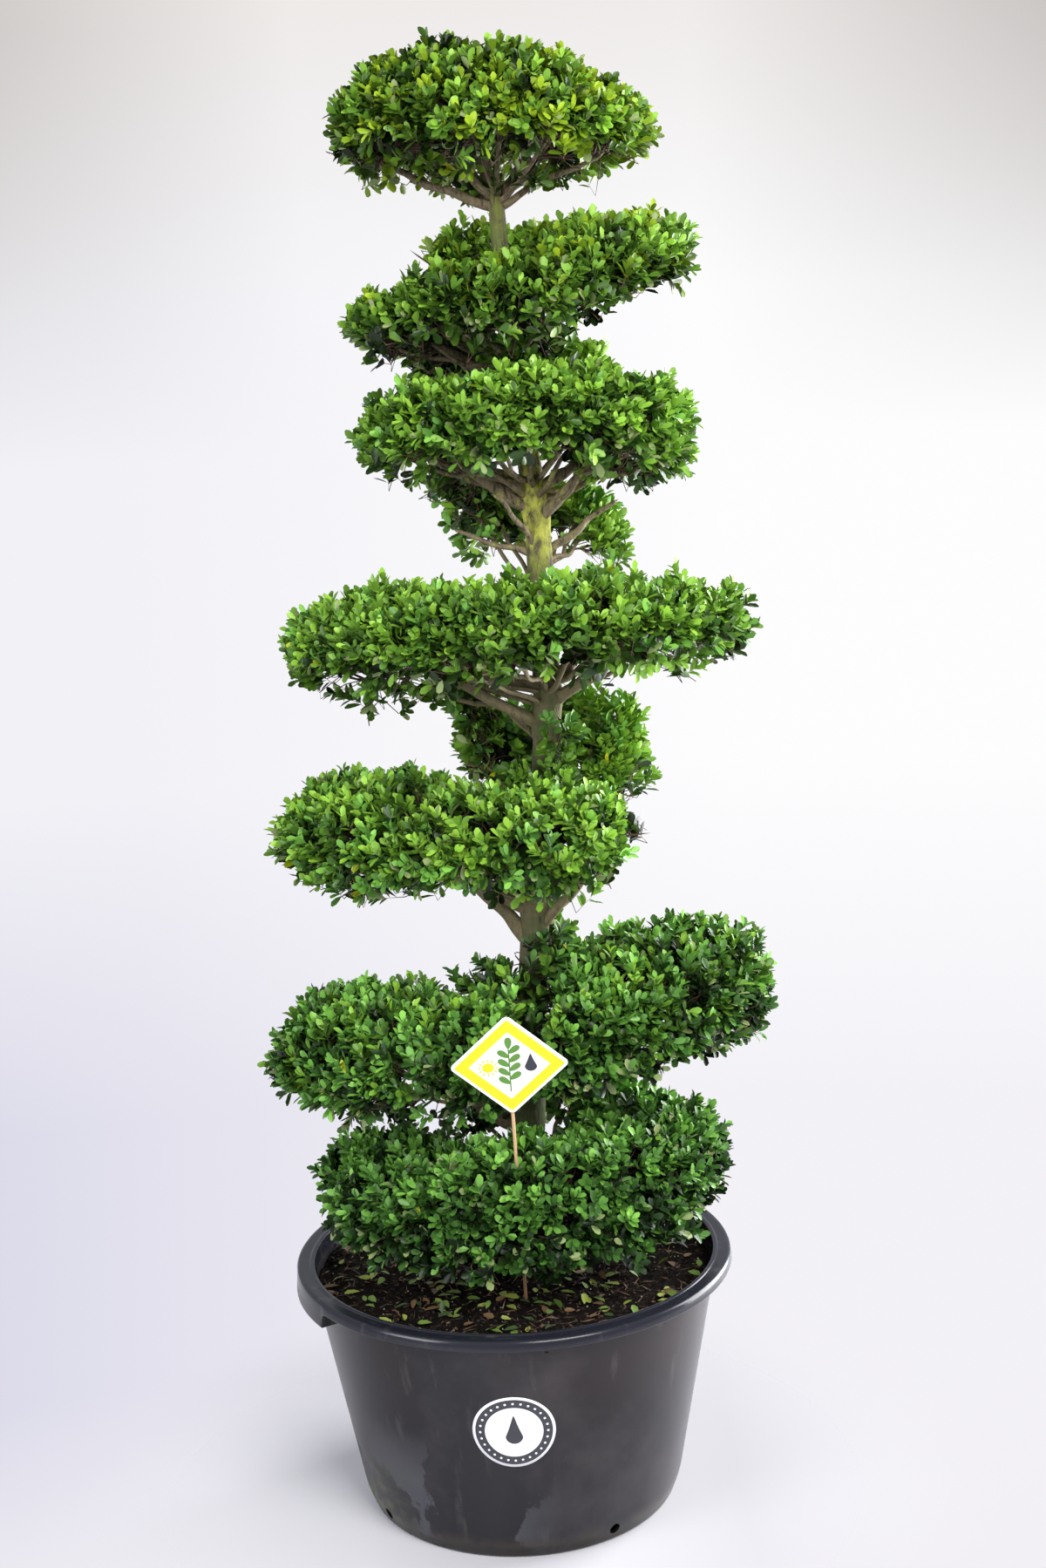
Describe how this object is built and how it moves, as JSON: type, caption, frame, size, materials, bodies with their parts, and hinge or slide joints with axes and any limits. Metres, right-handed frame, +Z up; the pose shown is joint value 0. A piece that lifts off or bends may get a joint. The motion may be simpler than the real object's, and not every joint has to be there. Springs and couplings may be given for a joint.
{
  "type": "spiral topiary in pot",
  "caption": "Clipped evergreen shrub trained as a rising spiral of foliage with a domed cap, standing in a round plastic nursery pot.",
  "frame": {"origin": "centre of the pot's flat underside", "axes": "+Z up along the plant, -Y to the front where the label stands, +X to the right seen from the front"},
  "size_m": [0.7942, 0.7, 2.2521],
  "materials": {
    "pot_plastic": "charcoal moulded plastic with a soft sheen, dusty and scuffed",
    "potting_soil": "dark moist bark and peat mix with fallen leaves",
    "bark": "grey-tan bark with green algae",
    "foliage": "small glossy evergreen leaves on thin brown twigs",
    "stick_wood": "plain pale wood",
    "label_card": "smooth printed plastic card"
  },
  "bodies": {
    "root": {"bough_cap_left": "bark", "bough_cap_right": "bark", "bough_skirt_back": "bark", "bough_skirt_left": "bark", "bough_skirt_right": "bark", "bough_tier_2_back": "bark", "bough_tier_2_left": "bark", "bough_tier_2_right": "bark", "bough_tier_3_back": "bark", "bough_tier_3_left": "bark", "bough_tier_3_right": "bark", "bough_tier_4_back": "bark", "bough_tier_4_left": "bark", "bough_tier_4_right": "bark", "bough_tier_5_back": "bark", "bough_tier_5_left": "bark", "bough_tier_5_right": "bark", "bough_tier_6_back": "bark", "bough_tier_6_left": "bark", "bough_tier_6_right": "bark", "foliage_cap": "foliage", "foliage_skirt_back": "foliage", "foliage_skirt_left": "foliage", "foliage_skirt_right": "foliage", "foliage_tier_2_back": "foliage", "foliage_tier_2_left": "foliage", "foliage_tier_2_right": "foliage", "foliage_tier_3_back": "foliage", "foliage_tier_3_left": "foliage", "foliage_tier_3_right": "foliage", "foliage_tier_4_back": "foliage", "foliage_tier_4_left": "foliage", "foliage_tier_4_right": "foliage", "foliage_tier_5_back": "foliage", "foliage_tier_5_left": "foliage", "foliage_tier_5_right": "foliage", "foliage_tier_6_back": "foliage", "foliage_tier_6_left": "foliage", "foliage_tier_6_right": "foliage", "label_board": "label_card", "label_stick": "stick_wood", "pot": "pot_plastic", "soil": "potting_soil", "trunk": "bark"}
  },
  "joints": []
}
